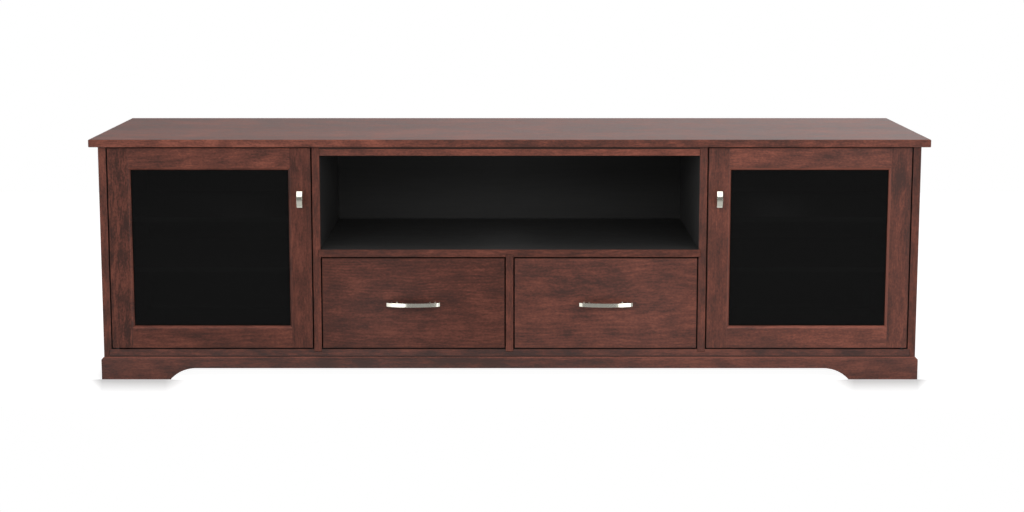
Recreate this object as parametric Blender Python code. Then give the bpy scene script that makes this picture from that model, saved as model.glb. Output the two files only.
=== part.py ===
"""Low media console in stained cherry: a board case on a bracket-foot plinth, an open bay over two drawers, and a
glazed frame door with two adjustable shelves behind it at each end.

Metres, +Z up. The front faces -Y, +X is to the right seen from the front, and the origin is on the floor under
the middle of the console, handles included.
"""

import math

import bmesh
import bpy
from mathutils import Vector

# Case
CASE_WIDTH = 2.045
CASE_DEPTH = 0.500
SIDE_HEIGHT = 0.5334
BOARD = 0.019
BAY_WIDTH = 0.946
DRAWER_OPENING_HEIGHT = 0.2355
BAY_RAIL_HEIGHT = 0.0231
BAY_RAIL_DEPTH = 0.060
DADO_DEPTH = 0.006
BACK_THICKNESS = 0.006
BACK_RABBET = 0.009
BACK_SET_IN = 0.002

# Top
TOP_THICKNESS = 0.019
TOP_SIDE_OVERHANG = 0.019
TOP_FRONT_OVERHANG = 0.020
TOP_EASE = 0.0015

# Plinth
PLINTH_HEIGHT = 0.057
PLINTH_THICKNESS = 0.019
PLINTH_PROJECTION = 0.006
PLINTH_CHAMFER = 0.006
FRONT_FOOT = 0.1735
SIDE_FOOT = 0.085
ARCH_RUN = 0.064
ARCH_RISE = 0.0287
ARCH_STEPS = 10

# Cable ports in the back
PORT_LENGTH = 0.140
PORT_HEIGHT = 0.056
PORT_DROP = 0.026
PORT_STEPS = 6

# Adjustable shelves, with their pins and rows of pin holes
SHELF_THICKNESS = 0.0127
SHELF_SETBACK = 0.045
SHELF_END_CLEARANCE = 0.0008
SHELF_BACK_CLEARANCE = 0.012
PIN_RADIUS = 0.0025
PIN_LENGTH = 0.009
PIN_ROOT = 0.003
PIN_HOLE_DEPTH = 0.010
PIN_PITCH = 0.032
PIN_ROW_INSET = 0.045
PIN_SIDES = 8
FIRST_HOLE_RISE = 0.0904
HOLES_PER_ROW = 11
SHELF_HOLES = {"lower": 3, "upper": 7}

# Doors
DOOR_THICKNESS = 0.020
STILE_WIDTH = 0.0562
RAIL_WIDTH = 0.0562
STICKING = 0.005
LIP = 0.008
GLASS_REBATE = 0.008
GLASS_THICKNESS = 0.005
STOP_WIDTH = 0.0075

# Pivot hinges, let into the ends of the hinge stiles and into the top and the bottom
HINGE_EDGE_INSET = 0.012
HINGE_FACE_INSET = 0.007
LEAF_WIDTH = 0.010
LEAF_END_WALL = 0.002
LEAF_THICKNESS = 0.0025
HINGE_PIN_RADIUS = 0.0022
WASHER_RADIUS = 0.0045
ROUND_STEPS = 16

# Drawers
DRAWER_FRONT_THICKNESS = 0.019
DRAWER_SIDE_THICKNESS = 0.0125
DRAWER_SIDE_HEIGHT = 0.190
DRAWER_SIDE_RISE = 0.012
DRAWER_BOX_LENGTH = 0.420
DRAWER_BACK_THICKNESS = 0.0125
DRAWER_BACK_INSET = 0.012
DRAWER_BACK_DROP = 0.008
DRAWER_BOTTOM_THICKNESS = 0.006
GROOVE_DEPTH = 0.005
GROOVE_RISE = 0.010
DOVETAIL_DEPTH = 0.008
DOVETAIL_SHOULDER = 0.0016
DOVETAIL_FLARE = 0.0013

# Drawer runners: a channel on the case holds a channel on the drawer
RUNNER_SPACE = 0.0127
RUNNER_HEIGHT = 0.045
RUNNER_LENGTH = 0.400
RUNNER_RISE = 0.070
RUNNER_SETBACK = 0.003
RUNNER_DEPTH = 0.0098
RUNNER_METAL = 0.0014
RUNNER_LIP = 0.006
RUNNER_CLEARANCE = 0.0004

# Drawer pulls: a bowed strap on two legs
PULL_LENGTH = 0.131
PULL_WIDTH = 0.0095
PULL_PROJECTION = 0.028
PULL_BOW = 0.008
PULL_STRAP = 0.004
PULL_TIP_RUN = 0.005
PULL_TIP_DROP = 0.0035
PULL_LEG_SPACING = 0.096
PULL_LEG_WIDTH = 0.016
PULL_LEG_HEIGHT = 0.008

# Door knobs: a short bowed strap on one round post
KNOB_LENGTH = 0.0388
KNOB_WIDTH = 0.014
KNOB_PROJECTION = 0.025
KNOB_BOW = 0.004
KNOB_STRAP = 0.0045
KNOB_TIP_RUN = 0.003
KNOB_TIP_DROP = 0.0015
KNOB_POST_RADIUS = 0.005
KNOB_DROP = 0.1272
KNOB_INSET = 0.0263

# Straps of both kinds
STRAP_EDGE = 0.0008
STRAP_CORNER = 0.0012
STRAP_STEPS = 18

# Fits and softened edges
JOINT_GAP = 0.0003
REVEAL = 0.0032
EDGE_EASE = 0.0008
SHARP_ANGLE = math.radians(30)
CUT_MARGIN = 0.010

# Where the sizes put things
FRONT_REACH = max(TOP_FRONT_OVERHANG, PLINTH_PROJECTION, PULL_PROJECTION, KNOB_PROJECTION)
FRONT_Y = (FRONT_REACH - CASE_DEPTH) / 2
BACK_Y = FRONT_Y + CASE_DEPTH
PANEL_BACK_Y = BACK_Y - BACK_SET_IN
INNER_BACK_Y = PANEL_BACK_Y - BACK_THICKNESS - JOINT_GAP
CASE_HALF = CASE_WIDTH / 2
SIDE_FACE = CASE_HALF - BOARD
BAY_FACE = BAY_WIDTH / 2
PARTITION_FACE = BAY_FACE + BOARD
CASE_Z0 = PLINTH_HEIGHT + JOINT_GAP
CASE_Z1 = CASE_Z0 + SIDE_HEIGHT
FLOOR_Z = CASE_Z0 + BOARD
TOP_Z0 = CASE_Z1 + JOINT_GAP
TOP_Z1 = TOP_Z0 + TOP_THICKNESS
BAY_SHELF_Z0 = FLOOR_Z + DRAWER_OPENING_HEIGHT
BAY_SHELF_Z1 = BAY_SHELF_Z0 + BOARD
DRAWER_OPENING = (BAY_WIDTH - BOARD) / 2
DOOR_Z0 = FLOOR_Z + REVEAL
DOOR_Z1 = TOP_Z0 - REVEAL
LEAF_REACH = STILE_WIDTH - GLASS_REBATE - HINGE_EDGE_INSET - LEAF_WIDTH / 2 - LEAF_END_WALL
SHELF_FRONT_Y = FRONT_Y + SHELF_SETBACK
SHELF_BACK_Y = INNER_BACK_Y - SHELF_BACK_CLEARANCE
SIDES = {"left": -1, "right": 1}


def finish(name, colour, roughness, metallic=0.0, alpha=1.0):
    """A plain material in a colour read off the object."""
    material = bpy.data.materials.new(name)
    material.use_nodes = True
    shader = material.node_tree.nodes["Principled BSDF"]
    shader.inputs["Base Color"].default_value = (*colour, 1.0)
    shader.inputs["Roughness"].default_value = roughness
    shader.inputs["Metallic"].default_value = metallic
    shader.inputs["Alpha"].default_value = alpha
    return material


def skin(bm, rings):
    """Joins rings of points into a closed tube with flat ends."""
    loops = [[bm.verts.new(point) for point in ring] for ring in rings]
    for near, far in zip(loops, loops[1:]):
        for i in range(len(near)):
            j = (i + 1) % len(near)
            bm.faces.new((near[i], near[j], far[j], far[i]))
    bm.faces.new(loops[0])
    bm.faces.new(loops[-1])


def add_prism(bm, outline, axis, start, end):
    """Draws an outline out along an axis. The outline's points are in the other two axes, in X, Y, Z order."""
    rings = []
    for level in (start, end):
        if axis == "X":
            rings.append([(level, u, v) for u, v in outline])
        elif axis == "Y":
            rings.append([(u, level, v) for u, v in outline])
        else:
            rings.append([(u, v, level) for u, v in outline])
    skin(bm, rings)


def add_block(bm, xs, ys, zs):
    outline = [(xs[0], ys[0]), (xs[1], ys[0]), (xs[1], ys[1]), (xs[0], ys[1])]
    add_prism(bm, outline, "Z", zs[0], zs[1])


def circle(centre, radius, steps):
    angles = [2 * math.pi * i / steps for i in range(steps)]
    return [(centre[0] + radius * math.cos(a), centre[1] + radius * math.sin(a)) for a in angles]


def obround(start, end, level, radius, steps):
    """The outline of a slot along the first axis, with half-round ends about start and end."""
    points = []
    for centre, turn in ((max(start, end), -math.pi / 2), (min(start, end), math.pi / 2)):
        for i in range(steps + 1):
            angle = turn + math.pi * i / steps
            points.append((centre + radius * math.cos(angle), level + radius * math.sin(angle)))
    return points


def ease_edges(bm, width):
    """Takes the sharpness off the outer edges."""
    bmesh.ops.recalc_face_normals(bm, faces=bm.faces)
    edges = [e for e in bm.edges if e.is_convex and e.calc_face_angle() > SHARP_ANGLE]
    bmesh.ops.bevel(bm, geom=edges, offset=width, segments=1, affect="EDGES")


def make(name, bm, material, carrier=None):
    """Turns a mesh drawn in place into an object whose origin is its middle, or its carrier's when it has one."""
    bmesh.ops.recalc_face_normals(bm, faces=bm.faces)
    if carrier:
        origin = carrier.location.copy()
    else:
        corners = [[pick(v.co[k] for v in bm.verts) for k in range(3)] for pick in (min, max)]
        origin = (Vector(corners[0]) + Vector(corners[1])) / 2
    bmesh.ops.translate(bm, verts=bm.verts, vec=-origin)
    mesh = bpy.data.meshes.new(name)
    bm.to_mesh(mesh)
    bm.free()
    mesh.shade_smooth()
    mesh.set_sharp_from_angle(angle=SHARP_ANGLE)
    obj = bpy.data.objects.new(name, mesh)
    bpy.context.scene.collection.objects.link(obj)
    if material:
        mesh.materials.append(material)
    if carrier:
        obj.parent = carrier
    else:
        obj.location = origin
    return obj


def shape(target, name, bm, operation):
    """Cuts a tool shape from an object, or joins it on."""
    tool = make(f"{target.name}_{name}", bm, None, target.parent)
    tool.hide_render = True
    tool.display_type = "WIRE"
    boolean = target.modifiers.new(name, "BOOLEAN")
    boolean.operation = operation
    boolean.solver = "EXACT"
    boolean.object = tool


def carve(target, name, bm):
    shape(target, name, bm, "DIFFERENCE")


def join_on(target, name, bm):
    shape(target, name, bm, "UNION")


def board(name, xs, ys, zs, material, carrier=None, ease=EDGE_EASE):
    bm = bmesh.new()
    add_block(bm, sorted(xs), sorted(ys), sorted(zs))
    ease_edges(bm, ease)
    return make(name, bm, material, carrier)


def carve_block(target, name, xs, ys, zs):
    bm = bmesh.new()
    add_block(bm, sorted(xs), sorted(ys), sorted(zs))
    carve(target, name, bm)


def pivot(name, location):
    """An empty on a joint's axis that carries what moves on it."""
    empty = bpy.data.objects.new(name, None)
    empty.location = location
    bpy.context.scene.collection.objects.link(empty)
    return empty


def arch_outline(low, high, foot):
    """The space under a plinth board: quarter-like sweeps up from the two feet to a straight rail."""
    radius = (ARCH_RUN**2 + ARCH_RISE**2) / (2 * ARCH_RISE)
    sweep = math.asin(ARCH_RUN / radius)
    rise = []
    for i in range(ARCH_STEPS + 1):
        angle = sweep * (1 - i / ARCH_STEPS)
        run = ARCH_RUN - radius * math.sin(angle)
        rise.append((run, ARCH_RISE - radius * (1 - math.cos(angle))))
    left = [(low + foot + run, z) for run, z in rise]
    right = [(high - foot - run, z) for run, z in reversed(rise)]
    return [(low + foot, -CUT_MARGIN), *left, *right, (high - foot, -CUT_MARGIN)]


def build_plinth():
    """Front and side boards mitred at the front corners, with bracket feet, and a plain board across the back."""
    outer_x = CASE_HALF + PLINTH_PROJECTION
    outer_y = FRONT_Y - PLINTH_PROJECTION
    section = [
        (0, 0),
        (0, PLINTH_HEIGHT - PLINTH_CHAMFER),
        (PLINTH_CHAMFER, PLINTH_HEIGHT),
        (PLINTH_THICKNESS, PLINTH_HEIGHT),
        (PLINTH_THICKNESS, 0),
    ]

    bm = bmesh.new()
    rings = []
    for end in (-1, 1):
        rings.append([(end * (outer_x - inset - JOINT_GAP), outer_y + inset, z) for inset, z in section])
    skin(bm, rings)
    front = make("plinth_front", bm, CHERRY)
    bm = bmesh.new()
    outline = arch_outline(-outer_x, outer_x, FRONT_FOOT)
    add_prism(bm, outline, "Y", outer_y - CUT_MARGIN, outer_y + PLINTH_THICKNESS + CUT_MARGIN)
    carve(front, "arch", bm)

    for side, sign in SIDES.items():
        bm = bmesh.new()
        mitre = [(sign * (outer_x - inset), outer_y + inset + JOINT_GAP, z) for inset, z in section]
        square = [(sign * (outer_x - inset), BACK_Y, z) for inset, z in section]
        skin(bm, [mitre, square])
        plinth = make(f"plinth_{side}", bm, CHERRY)
        bm = bmesh.new()
        inner_x = outer_x - PLINTH_THICKNESS
        ends = sorted((sign * (inner_x - CUT_MARGIN), sign * (outer_x + CUT_MARGIN)))
        add_prism(bm, arch_outline(outer_y, BACK_Y, SIDE_FOOT), "X", *ends)
        carve(plinth, "arch", bm)

    inner_x = outer_x - PLINTH_THICKNESS - JOINT_GAP
    board("plinth_back", (-inner_x, inner_x), (BACK_Y - PLINTH_THICKNESS, BACK_Y), (0, PLINTH_HEIGHT), CHERRY)


def pin_places(pinned):
    """Heights and depths of the shelf pins, or of the holes left empty between them."""
    taken = set(SHELF_HOLES.values())
    holes = [k for k in range(HOLES_PER_ROW) if (k in taken) == pinned]
    heights = [FLOOR_Z + FIRST_HOLE_RISE + k * PIN_PITCH for k in holes]
    depths = (SHELF_FRONT_Y + PIN_ROW_INSET, SHELF_BACK_Y - PIN_ROW_INSET)
    return [(y, z) for y in depths for z in heights]


def fit_shelf_pins(panel, face, inward):
    """Rows of pin holes in a panel's face, and pins in those that carry the shelves."""
    bm = bmesh.new()
    for place in pin_places(pinned=False):
        ends = sorted((face - inward * PIN_HOLE_DEPTH, face + inward * CUT_MARGIN))
        add_prism(bm, circle(place, PIN_RADIUS, PIN_SIDES), "X", *ends)
    carve(panel, "pin_holes", bm)
    bm = bmesh.new()
    for place in pin_places(pinned=True):
        ends = sorted((face - inward * PIN_ROOT, face + inward * PIN_LENGTH))
        add_prism(bm, circle(place, PIN_RADIUS, PIN_SIDES), "X", *ends)
    join_on(panel, "pins", bm)


def build_sides():
    """End panels: rebated for the bottom and the back, and drilled for the shelf pins."""
    for side, sign in SIDES.items():
        faces = (sign * SIDE_FACE, sign * CASE_HALF)
        panel = board(f"{side}_side_panel", faces, (FRONT_Y, BACK_Y), (CASE_Z0, CASE_Z1), CHERRY)
        rebate = (sign * (SIDE_FACE - CUT_MARGIN), sign * (SIDE_FACE + DADO_DEPTH))
        through = (FRONT_Y - CUT_MARGIN, BACK_Y + CUT_MARGIN)
        carve_block(panel, "bottom_rebate", rebate, through, (CASE_Z0 - CUT_MARGIN, FLOOR_Z + JOINT_GAP))
        rabbet = (sign * (SIDE_FACE - CUT_MARGIN), sign * (SIDE_FACE + BACK_RABBET))
        behind = (INNER_BACK_Y, BACK_Y + CUT_MARGIN)
        carve_block(panel, "back_rabbet", rabbet, behind, (CASE_Z0 - CUT_MARGIN, CASE_Z1 + CUT_MARGIN))
        fit_shelf_pins(panel, sign * SIDE_FACE, -sign)


def build_partitions():
    """Uprights between the bay and the cabinets, stood in dadoes in the bottom."""
    for side, sign in SIDES.items():
        faces = (sign * BAY_FACE, sign * PARTITION_FACE)
        foot = FLOOR_Z - DADO_DEPTH + JOINT_GAP
        panel = board(f"{side}_partition", faces, (FRONT_Y, INNER_BACK_Y), (foot, CASE_Z1), CHERRY)
        dado = (sign * (BAY_FACE - CUT_MARGIN), sign * (BAY_FACE + DADO_DEPTH))
        through = (FRONT_Y - CUT_MARGIN, BACK_Y)
        heights = (BAY_SHELF_Z0 - JOINT_GAP, BAY_SHELF_Z1 + JOINT_GAP)
        carve_block(panel, "shelf_dado", dado, through, heights)
        fit_shelf_pins(panel, sign * PARTITION_FACE, sign)


def carve_upright_dado(target, name, middle, heights):
    half = BOARD / 2 + JOINT_GAP
    carve_block(target, name, (middle - half, middle + half), (FRONT_Y - CUT_MARGIN, BACK_Y), heights)


def build_bottom():
    """One board across the whole case, with dadoes for the three uprights and beds for the hinge leaves."""
    half = SIDE_FACE + DADO_DEPTH - JOINT_GAP
    bottom = board("bottom_panel", (-half, half), (FRONT_Y, INNER_BACK_Y), (CASE_Z0, FLOOR_Z), CHERRY)
    heights = (FLOOR_Z - DADO_DEPTH, FLOOR_Z + CUT_MARGIN)
    carve_upright_dado(bottom, "drawer_dado", 0, heights)
    for side, sign in SIDES.items():
        carve_upright_dado(bottom, f"{side}_dado", sign * (BAY_FACE + PARTITION_FACE) / 2, heights)
        bm = bmesh.new()
        outline = leaf_outline(sign, JOINT_GAP)
        add_prism(bm, outline, "Z", FLOOR_Z - LEAF_THICKNESS - JOINT_GAP, FLOOR_Z + CUT_MARGIN)
        carve(bottom, f"{side}_leaf_bed", bm)


def build_bay():
    """The fixed shelf over the drawers, the upright between them and the rail under the top."""
    half = BAY_FACE + DADO_DEPTH - JOINT_GAP
    heights = (BAY_SHELF_Z0, BAY_SHELF_Z1)
    shelf = board("bay_shelf", (-half, half), (FRONT_Y, INNER_BACK_Y), heights, CHERRY)
    heights = (BAY_SHELF_Z0 - CUT_MARGIN, BAY_SHELF_Z0 + DADO_DEPTH)
    carve_upright_dado(shelf, "drawer_dado", 0, heights)
    heights = (FLOOR_Z - DADO_DEPTH + JOINT_GAP, BAY_SHELF_Z0 + DADO_DEPTH - JOINT_GAP)
    board("drawer_partition", (-BOARD / 2, BOARD / 2), (FRONT_Y, INNER_BACK_Y), heights, CHERRY)
    half = BAY_FACE - JOINT_GAP
    depths = (FRONT_Y, FRONT_Y + BAY_RAIL_DEPTH)
    board("bay_top_rail", (-half, half), depths, (CASE_Z1 - BAY_RAIL_HEIGHT, CASE_Z1), CHERRY)


def build_top():
    """A plain board over the whole case, level with its back and past it at the sides and the front."""
    half = CASE_HALF + TOP_SIDE_OVERHANG
    depths = (FRONT_Y - TOP_FRONT_OVERHANG, BACK_Y)
    top = board("top_panel", (-half, half), depths, (TOP_Z0, TOP_Z1), CHERRY, ease=TOP_EASE)
    for side, sign in SIDES.items():
        bm = bmesh.new()
        outline = leaf_outline(sign, JOINT_GAP)
        add_prism(bm, outline, "Z", TOP_Z0 - CUT_MARGIN, TOP_Z0 + LEAF_THICKNESS + JOINT_GAP)
        carve(top, f"{side}_leaf_bed", bm)


def build_back():
    """A thin panel sunk into the rabbets of the sides, with a cable port high behind each cabinet and the bay."""
    half = SIDE_FACE + BACK_RABBET - JOINT_GAP
    depths = (PANEL_BACK_Y - BACK_THICKNESS, PANEL_BACK_Y)
    back = board("back_panel", (-half, half), depths, (CASE_Z0, CASE_Z1), BLACK)
    cabinet = (SIDE_FACE + PARTITION_FACE) / 2
    reach = (PORT_LENGTH - PORT_HEIGHT) / 2
    level = CASE_Z1 - PORT_DROP - PORT_HEIGHT / 2
    for name, middle in (("left_port", -cabinet), ("bay_port", 0), ("right_port", cabinet)):
        bm = bmesh.new()
        outline = obround(middle - reach, middle + reach, level, PORT_HEIGHT / 2, PORT_STEPS)
        add_prism(bm, outline, "Y", depths[0] - CUT_MARGIN, depths[1] + CUT_MARGIN)
        carve(back, name, bm)


def build_shelves():
    """Two loose shelves in each cabinet, laid on the pins."""
    for side, sign in SIDES.items():
        ends = (sign * (PARTITION_FACE + SHELF_END_CLEARANCE), sign * (SIDE_FACE - SHELF_END_CLEARANCE))
        for level, hole in SHELF_HOLES.items():
            under = FLOOR_Z + FIRST_HOLE_RISE + hole * PIN_PITCH + PIN_RADIUS + JOINT_GAP
            heights = (under, under + SHELF_THICKNESS)
            board(f"{side}_{level}_shelf", ends, (SHELF_FRONT_Y, SHELF_BACK_Y), heights, BLACK)


def hinge_axis(sign):
    """Where a door's pins stand: near the outer edge of the door, just behind its face."""
    return sign * (SIDE_FACE - REVEAL - HINGE_EDGE_INSET), FRONT_Y + HINGE_FACE_INSET


def leaf_outline(sign, grown=0.0):
    x, y = hinge_axis(sign)
    return obround(x, x - sign * LEAF_REACH, y, LEAF_WIDTH / 2 + grown, ROUND_STEPS // 2)


def build_hinge(side, sign, level, end_z, door_z, away, door):
    """A pin leaf let into the case at end_z and an eye leaf let into the door's end at door_z."""
    axis = hinge_axis(sign)
    bm = bmesh.new()
    add_prism(bm, leaf_outline(sign), "Z", *sorted((end_z, end_z - away * LEAF_THICKNESS)))
    case_leaf = make(f"{side}_{level}_hinge_case_leaf", bm, STEEL)
    root = end_z - away * LEAF_THICKNESS / 2
    bm = bmesh.new()
    washer = circle(axis, WASHER_RADIUS, ROUND_STEPS)
    add_prism(bm, washer, "Z", *sorted((root, end_z + away * (REVEAL - JOINT_GAP))))
    join_on(case_leaf, "washer", bm)
    bm = bmesh.new()
    pin = circle(axis, HINGE_PIN_RADIUS, ROUND_STEPS)
    add_prism(bm, pin, "Z", *sorted((root, door_z + away * LEAF_THICKNESS)))
    join_on(case_leaf, "pin", bm)

    bm = bmesh.new()
    add_prism(bm, leaf_outline(sign), "Z", *sorted((door_z, door_z + away * LEAF_THICKNESS)))
    door_leaf = make(f"{side}_{level}_hinge_door_leaf", bm, STEEL, door)
    bm = bmesh.new()
    eye = circle(axis, HINGE_PIN_RADIUS + JOINT_GAP, ROUND_STEPS)
    ends = (door_z - away * CUT_MARGIN, door_z + away * (LEAF_THICKNESS + CUT_MARGIN))
    add_prism(bm, eye, "Z", *sorted(ends))
    carve(door_leaf, "eye", bm)


def carve_leaf_bed(stile, name, sign, door_z, away):
    bm = bmesh.new()
    ends = (door_z - away * CUT_MARGIN, door_z + away * (LEAF_THICKNESS + JOINT_GAP))
    add_prism(bm, leaf_outline(sign, JOINT_GAP), "Z", *sorted(ends))
    carve(stile, name, bm)


def frame_section(edge, inward, width):
    """Section of a door frame member as (across, depth): face, sloped sticking, lip and glass rebate."""
    return [
        (edge, FRONT_Y),
        (edge + inward * (width - STICKING), FRONT_Y),
        (edge + inward * width, FRONT_Y + STICKING),
        (edge + inward * width, FRONT_Y + LIP),
        (edge + inward * (width - GLASS_REBATE), FRONT_Y + LIP),
        (edge + inward * (width - GLASS_REBATE), FRONT_Y + DOOR_THICKNESS),
        (edge, FRONT_Y + DOOR_THICKNESS),
    ]


def cope_outline(edge, inward):
    """What a rail loses at its end so that it fits over the sticking and lip of a stile."""
    slope = JOINT_GAP * math.sqrt(2)
    root = edge + inward * (STILE_WIDTH - GLASS_REBATE - CUT_MARGIN)
    tip = edge + inward * (STILE_WIDTH + JOINT_GAP)
    return [
        (root, FRONT_Y - CUT_MARGIN),
        (edge + inward * (STILE_WIDTH - STICKING + slope - CUT_MARGIN), FRONT_Y - CUT_MARGIN),
        (tip, FRONT_Y + STICKING + JOINT_GAP - slope),
        (tip, FRONT_Y + LIP + JOINT_GAP),
        (root, FRONT_Y + LIP + JOINT_GAP),
    ]


def build_door(side, sign):
    """A glazed frame: coped rails between rebated stiles, a pane held by a bead, a knob, and its two hinges."""
    axis_x, axis_y = hinge_axis(sign)
    door = pivot(f"{side}_door_axis", (axis_x, axis_y, DOOR_Z0))
    hinge_edge = sign * (SIDE_FACE - REVEAL)
    pull_edge = sign * (PARTITION_FACE + REVEAL)
    heights = (DOOR_Z0, DOOR_Z1)

    stiles = {}
    for name, edge, inward in (("hinge_stile", hinge_edge, -sign), ("pull_stile", pull_edge, sign)):
        bm = bmesh.new()
        add_prism(bm, frame_section(edge, inward, STILE_WIDTH), "Z", *heights)
        ease_edges(bm, EDGE_EASE)
        stiles[name] = make(f"{side}_door_{name}", bm, CHERRY, door)
    carve_leaf_bed(stiles["hinge_stile"], "top_leaf_bed", sign, DOOR_Z1, -1)
    carve_leaf_bed(stiles["hinge_stile"], "bottom_leaf_bed", sign, DOOR_Z0, 1)

    shoulder = STILE_WIDTH - GLASS_REBATE + JOINT_GAP
    ends = sorted((hinge_edge - sign * shoulder, pull_edge + sign * shoulder))
    for name, edge, inward in (("top_rail", DOOR_Z1, -1), ("bottom_rail", DOOR_Z0, 1)):
        bm = bmesh.new()
        section = [(y, z) for z, y in frame_section(edge, inward, RAIL_WIDTH)]
        add_prism(bm, section, "X", *ends)
        ease_edges(bm, EDGE_EASE)
        rail = make(f"{side}_door_{name}", bm, CHERRY, door)
        for end, stile_edge, stile_inward in (("hinge", hinge_edge, -sign), ("pull", pull_edge, sign)):
            bm = bmesh.new()
            cope = cope_outline(stile_edge, stile_inward)
            add_prism(bm, cope, "Z", edge - inward * CUT_MARGIN, edge + inward * (RAIL_WIDTH + CUT_MARGIN))
            carve(rail, f"{end}_cope", bm)

    xs = (ends[0], ends[1])
    zs = (DOOR_Z0 + RAIL_WIDTH - GLASS_REBATE + JOINT_GAP, DOOR_Z1 - RAIL_WIDTH + GLASS_REBATE - JOINT_GAP)
    pane_y = FRONT_Y + LIP + JOINT_GAP
    board(f"{side}_door_glass", xs, (pane_y, pane_y + GLASS_THICKNESS), zs, GLASS, door)

    bead_y = pane_y + GLASS_THICKNESS + JOINT_GAP
    bm = bmesh.new()
    add_block(bm, xs, (bead_y, FRONT_Y + DOOR_THICKNESS), zs)
    bead = make(f"{side}_door_glass_stop", bm, CHERRY, door)
    clear_x = (xs[0] + STOP_WIDTH, xs[1] - STOP_WIDTH)
    clear_z = (zs[0] + STOP_WIDTH, zs[1] - STOP_WIDTH)
    through = (FRONT_Y - CUT_MARGIN, FRONT_Y + DOOR_THICKNESS + CUT_MARGIN)
    carve_block(bead, "sight", clear_x, through, clear_z)

    middle = Vector((pull_edge + sign * KNOB_INSET, FRONT_Y - JOINT_GAP, DOOR_Z1 - KNOB_DROP))
    build_knob(f"{side}_door_knob", middle, door)
    build_hinge(side, sign, "top", TOP_Z0, DOOR_Z1, -1, door)
    build_hinge(side, sign, "bottom", FLOOR_Z, DOOR_Z0, 1, door)


def bow_radius(chord, bow):
    return (chord**2 + bow**2) / (2 * bow)


def bowed_strap(middle, length, width, projection, bow, thickness, tip_run, tip_drop, upright):
    """A flat strap bowed out towards the front, with square ends, turned-back tips and softened edges."""
    chord = length / 2 - tip_run
    radius = bow_radius(chord, bow)
    sweep = math.asin(chord / radius)
    tip_turn = math.atan2(tip_drop, tip_run)
    stations = []
    for i in range(STRAP_STEPS + 1):
        angle = sweep * (2 * i / STRAP_STEPS - 1)
        at_end = i in (0, STRAP_STEPS)
        turned = math.copysign((sweep + tip_turn) / 2, angle) if at_end else angle
        stations.append((radius * math.sin(angle), radius * (1 - math.cos(angle)), turned, width / 2))
    shoulder_fall = bow + tip_drop * (1 - STRAP_CORNER / tip_run)
    for end in (-1, 1):
        tip = [
            (end * (length / 2 - STRAP_CORNER), shoulder_fall, end * tip_turn, width / 2),
            (end * length / 2, bow + tip_drop, end * tip_turn, width / 2 - STRAP_CORNER),
        ]
        stations = stations + tip if end > 0 else tip[::-1] + stations
    rings = []
    for along, fall, turned, half in stations:
        section = [
            (0, half - STRAP_EDGE),
            (STRAP_EDGE, half),
            (thickness - STRAP_EDGE, half),
            (thickness, half - STRAP_EDGE),
        ]
        section += [(depth, -across) for depth, across in reversed(section)]
        ring = []
        for depth, across in section:
            run = along - depth * math.sin(turned)
            out = projection - fall - depth * math.cos(turned)
            place = (across, -out, run) if upright else (run, -out, across)
            ring.append(middle + Vector(place))
        rings.append(ring)
    bm = bmesh.new()
    skin(bm, rings)
    return bm


def build_knob(name, middle, carrier):
    """A short upright strap on a post, near the middle of the pull stile."""
    out = KNOB_PROJECTION - JOINT_GAP
    sizes = (KNOB_LENGTH, KNOB_WIDTH, out, KNOB_BOW, KNOB_STRAP, KNOB_TIP_RUN, KNOB_TIP_DROP)
    knob = make(name, bowed_strap(middle, *sizes, upright=True), NICKEL, carrier)
    bm = bmesh.new()
    post = circle((middle.x, middle.z), KNOB_POST_RADIUS, ROUND_STEPS)
    add_prism(bm, post, "Y", middle.y - out + KNOB_STRAP / 2, middle.y)
    join_on(knob, "post", bm)


def build_pull(name, middle, carrier):
    """A level strap on two legs, whose ends follow the strap's bow."""
    out = PULL_PROJECTION - JOINT_GAP
    sizes = (PULL_LENGTH, PULL_WIDTH, out, PULL_BOW, PULL_STRAP, PULL_TIP_RUN, PULL_TIP_DROP)
    pull = make(name, bowed_strap(middle, *sizes, upright=False), NICKEL, carrier)
    radius = bow_radius(PULL_LENGTH / 2 - PULL_TIP_RUN, PULL_BOW)
    bm = bmesh.new()
    for turn in SIDES.values():
        plan = []
        for across in (-PULL_LEG_WIDTH / 2, PULL_LEG_WIDTH / 2):
            place = turn * PULL_LEG_SPACING / 2 + across
            fall = radius - math.sqrt(radius**2 - place**2)
            edge = [(middle.x + place, middle.y), (middle.x + place, middle.y - out + fall + PULL_STRAP / 2)]
            plan += edge if across < 0 else edge[::-1]
        add_prism(bm, plan, "Z", middle.z - PULL_LEG_HEIGHT / 2, middle.z + PULL_LEG_HEIGHT / 2)
    join_on(pull, "legs", bm)


def dovetail_side(outer, inward, joint_y, box_z):
    """Plan of a drawer side, with the tail that slides into the back of the drawer front."""
    shoulder_y = joint_y + JOINT_GAP
    rear_y = joint_y + DRAWER_BOX_LENGTH
    tip_y = joint_y - DOVETAIL_DEPTH + JOINT_GAP
    neck = (DOVETAIL_SHOULDER, DRAWER_SIDE_THICKNESS - DOVETAIL_SHOULDER)
    tip = (neck[0] - DOVETAIL_FLARE, neck[1] + DOVETAIL_FLARE)
    plan = [
        (0, shoulder_y),
        (neck[0], shoulder_y),
        (tip[0], tip_y),
        (tip[1], tip_y),
        (neck[1], shoulder_y),
        (DRAWER_SIDE_THICKNESS, shoulder_y),
        (DRAWER_SIDE_THICKNESS, rear_y),
        (0, rear_y),
    ]
    bm = bmesh.new()
    add_prism(bm, [(outer + inward * across, y) for across, y in plan], "Z", *box_z)
    return bm


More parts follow.
